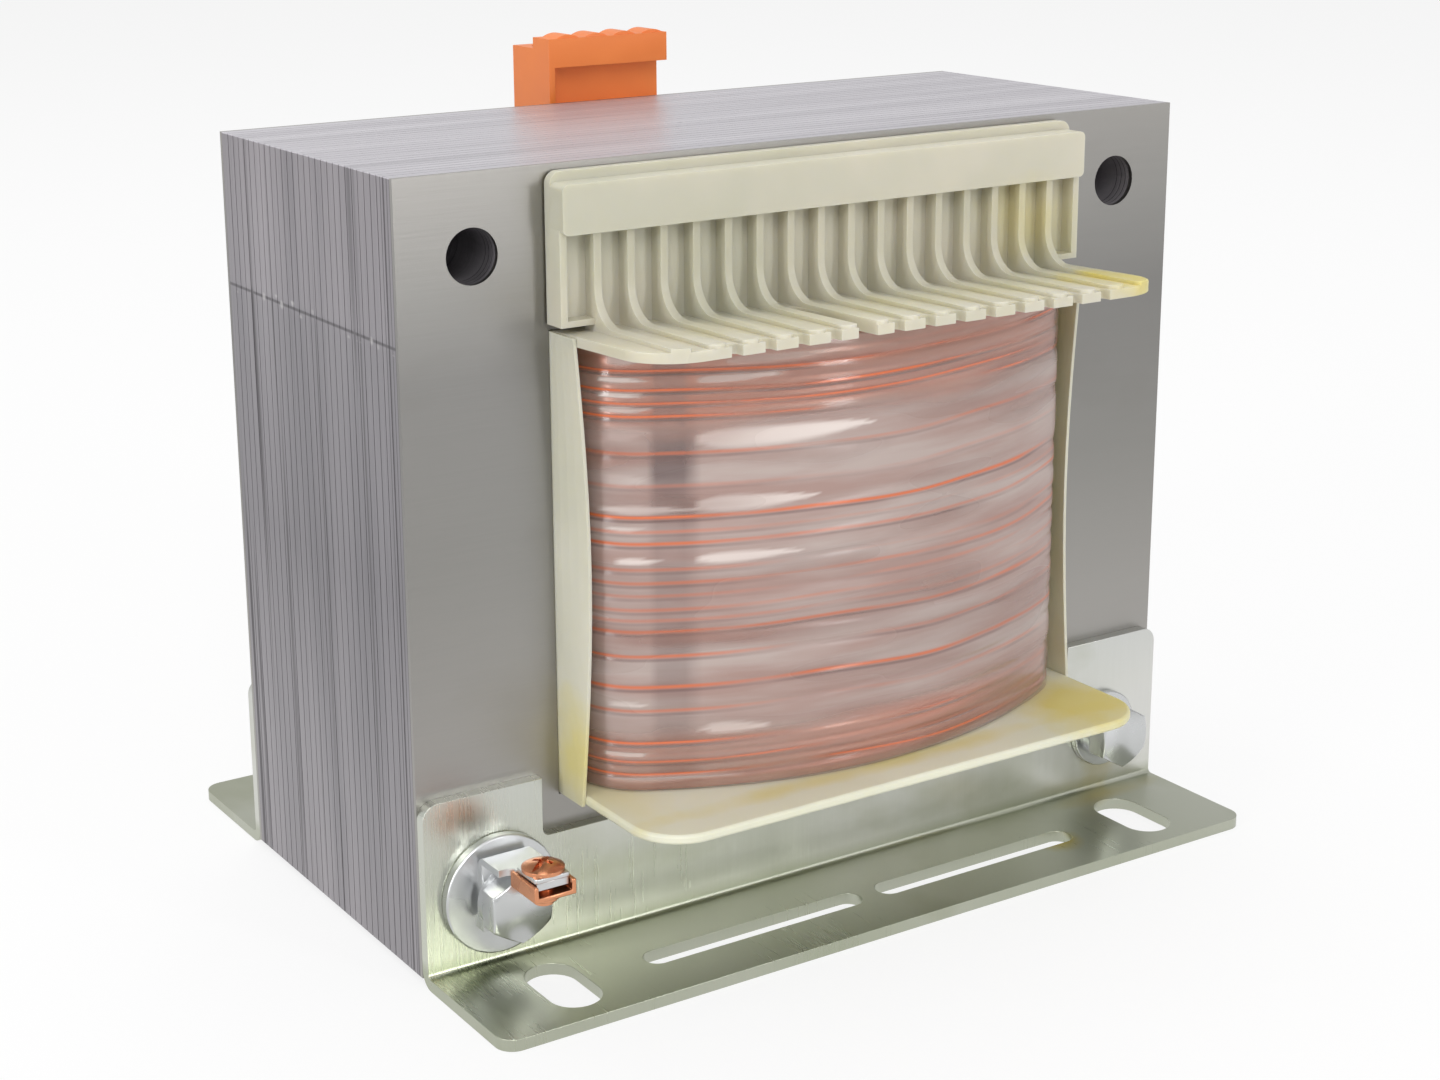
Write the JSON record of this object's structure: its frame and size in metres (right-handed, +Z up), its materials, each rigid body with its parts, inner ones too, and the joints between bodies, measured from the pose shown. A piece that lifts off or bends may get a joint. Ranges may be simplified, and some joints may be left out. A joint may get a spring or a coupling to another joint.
{
  "type": "laminated chassis transformer",
  "caption": "Open laminated-core transformer with a comb-flanged bobbin, copper coil, folded mounting brackets, earth clamp and terminal block.",
  "frame": {"origin": "on the floor under the middle of the core, between the two mounting feet", "axes": "+Z up; -Y is the front, with the earth clamp at its lower left; +X to the right along the core's width"},
  "size_m": [0.192, 0.155, 0.1763],
  "materials": {
    "core_steel": "cut edges of bare silicon-steel laminations, satin",
    "face_steel": "satin silicon-steel sheet",
    "zinc_sheet": "bright zinc-plated sheet",
    "zinc_fastener": "zinc-plated fasteners",
    "nylon": "translucent natural nylon with yellow varnish",
    "liner_sheet": "thin insulating sheet",
    "paper_insulation": "wrapped insulation",
    "winding_copper": "enamelled copper wire",
    "clear_film": "glossy clear film with creases",
    "copper_plate": "copper-plated steel",
    "orange_plastic": "orange polyamide",
    "sleeve_plastic": "insulating tube"
  },
  "bodies": {
    "root": {"e_stack": "core_steel", "i_stack": "core_steel", "front_outer_e": "face_steel", "front_outer_i": "face_steel", "rear_outer_e": "face_steel", "rear_outer_i": "face_steel", "bobbin_tube": "nylon", "top_flange": "nylon", "bottom_flange": "nylon", "left_liner": "liner_sheet", "right_liner": "liner_sheet", "inner_winding": "winding_copper", "outer_winding": "winding_copper", "lead_wires": "winding_copper", "interlayer_insulation": "paper_insulation", "film_wrap": "clear_film", "front_bracket": "zinc_sheet", "rear_bracket": "zinc_sheet", "through_bolts": "zinc_fastener", "large_washer": "zinc_fastener", "plain_washers": "zinc_fastener", "spring_washers": "zinc_fastener", "hex_nuts": "zinc_fastener", "earth_strap": "zinc_fastener", "pressure_plate": "zinc_fastener", "terminal_screws": "zinc_fastener", "terminal_cages": "zinc_fastener", "bolt_sleeves": "sleeve_plastic", "clamp_saddle": "copper_plate", "clamp_screw": "copper_plate", "terminal_housing": "orange_plastic"}
  },
  "joints": []
}
